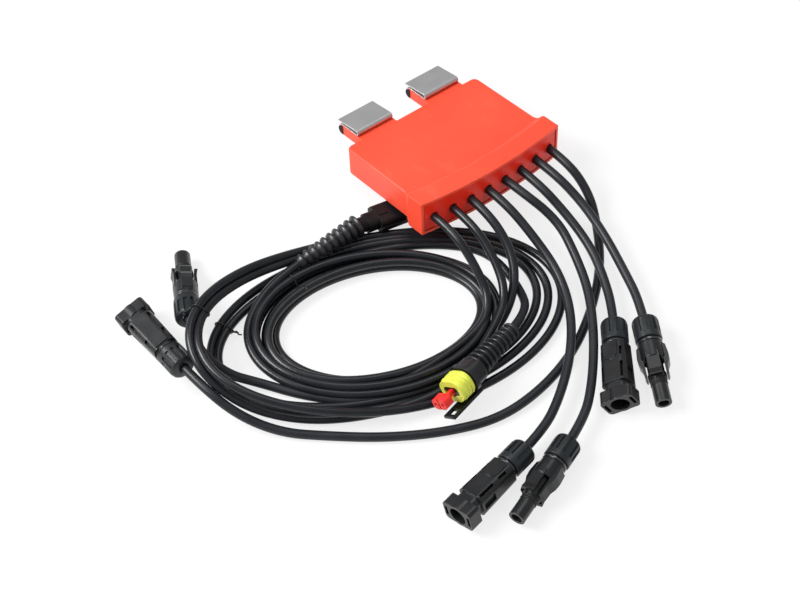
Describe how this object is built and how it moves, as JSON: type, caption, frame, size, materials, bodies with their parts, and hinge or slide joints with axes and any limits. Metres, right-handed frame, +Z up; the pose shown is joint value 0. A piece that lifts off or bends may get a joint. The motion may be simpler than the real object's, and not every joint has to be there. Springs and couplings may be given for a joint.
{
  "type": "solar rapid shutdown device",
  "caption": "Potted solar rapid shutdown box with frame clips, single pole cable connectors and coiled two way signal cords.",
  "frame": {"origin": "centre of the case's flat underside", "axes": "+X along the cable face to its right end, +Y from the cable face towards the frame clips, +Z up from the floor; the case leans with its front edge 9 degrees and its left side 5 degrees up, as it lies on the coil in the picture"},
  "size_m": [0.3501, 0.3388, 0.0512],
  "materials": {
    "case_red": "smooth moulded coral red, soft sheen",
    "plate_red": "moulded darker red",
    "potting_grey": "cast filling compound",
    "board_green": "fibreglass board",
    "package_black": "moulded packages",
    "can_aluminium": "plain can",
    "winding_brass": "copper winding",
    "clip_steel": "satin stainless sheet",
    "contact_metal": "tinned copper",
    "gland_rubber": "moulded seal",
    "connector_black": "fine matt black",
    "boot_rubber": "ribbed dark rubber",
    "seal_yellow": "soft yellow silicone",
    "lock_red": "bright red moulding",
    "cable_black": "dark slate jacket"
  },
  "bodies": {
    "device": {"boot_a": "boot_rubber", "boot_b": "boot_rubber", "bypass_diodes": "package_black", "cap_body": "connector_black", "cap_pins": "contact_metal", "capacitors": "can_aluminium", "case_shell": "case_red", "circuit_board": "board_green", "coil_inner": "cable_black", "coil_outer": "cable_black", "coupling_coil": "winding_brass", "end_plate": "plate_red", "frame_clip_left": "clip_steel", "frame_clip_right": "clip_steel", "in_1_body": "connector_black", "in_1_cable": "cable_black", "in_1_contact": "contact_metal", "in_1_gland": "gland_rubber", "in_2_body": "connector_black", "in_2_cable": "cable_black", "in_2_contact": "contact_metal", "in_2_gland": "gland_rubber", "in_3_body": "connector_black", "in_3_cable": "cable_black", "in_3_contact": "contact_metal", "in_3_gland": "gland_rubber", "in_4_body": "connector_black", "in_4_cable": "cable_black", "in_4_contact": "contact_metal", "in_4_gland": "gland_rubber", "out_1_body": "connector_black", "out_1_cable": "cable_black", "out_1_contact": "contact_metal", "out_1_gland": "gland_rubber", "out_2_body": "connector_black", "out_2_cable": "cable_black", "out_2_contact": "contact_metal", "out_2_gland": "gland_rubber", "plug_body": "connector_black", "plug_seal": "seal_yellow", "plug_terminals": "contact_metal", "potting": "potting_grey", "signal_a_start": "cable_black", "signal_a_tail": "cable_black", "signal_b_start": "cable_black", "signal_b_tail": "cable_black", "switch_transistors": "package_black"},
    "out_1_nut_body": {"out_1_nut": "connector_black"},
    "out_2_nut_body": {"out_2_nut": "connector_black"},
    "in_1_nut_body": {"in_1_nut": "connector_black"},
    "in_2_nut_body": {"in_2_nut": "connector_black"},
    "in_3_nut_body": {"in_3_nut": "connector_black"},
    "in_4_nut_body": {"in_4_nut": "connector_black"},
    "plug_lock_body": {"plug_lock": "lock_red"},
    "cap_lock_body": {"cap_lock": "connector_black"}
  },
  "joints": [
    {"name": "out_1_nut_turn", "type": "hinge", "parent": "device", "child": "out_1_nut_body", "pos_m": [-0.23696, 0.01148, 0.00689], "axis": [0.4876, 0.8445, -0.2215], "range_deg": [0, 360]},
    {"name": "out_2_nut_turn", "type": "hinge", "parent": "device", "child": "out_2_nut_body", "pos_m": [-0.26728, -0.01795, 0.00688], "axis": [0.0172, 0.9881, -0.153], "range_deg": [0, 360]},
    {"name": "in_1_nut_turn", "type": "hinge", "parent": "device", "child": "in_1_nut_body", "pos_m": [-0.13387, -0.22281, -0.002], "axis": [-0.9902, -0.1392, 0.0105], "range_deg": [0, 360]},
    {"name": "in_2_nut_turn", "type": "hinge", "parent": "device", "child": "in_2_nut_body", "pos_m": [-0.10694, -0.23938, -0.00173], "axis": [-0.9568, -0.2907, 0], "range_deg": [0, 360]},
    {"name": "in_3_nut_turn", "type": "hinge", "parent": "device", "child": "in_3_nut_body", "pos_m": [-0.01294, -0.19268, -0.0017], "axis": [-0.6491, -0.76, 0.0332], "range_deg": [0, 360]},
    {"name": "in_4_nut_turn", "type": "hinge", "parent": "device", "child": "in_4_nut_body", "pos_m": [0.00602, -0.20584, -0.00173], "axis": [-0.5519, -0.8339, 0], "range_deg": [0, 360]},
    {"name": "plug_lock_slide", "type": "slide", "parent": "device", "child": "plug_lock_body", "axis": [-0.9781, -0.199, 0.061], "range_m": [0, 0.0025]},
    {"name": "cap_lock_slide", "type": "slide", "parent": "device", "child": "cap_lock_body", "axis": [0.1204, -0.0191, 0.9925], "range_m": [0, 0.0015]}
  ]
}
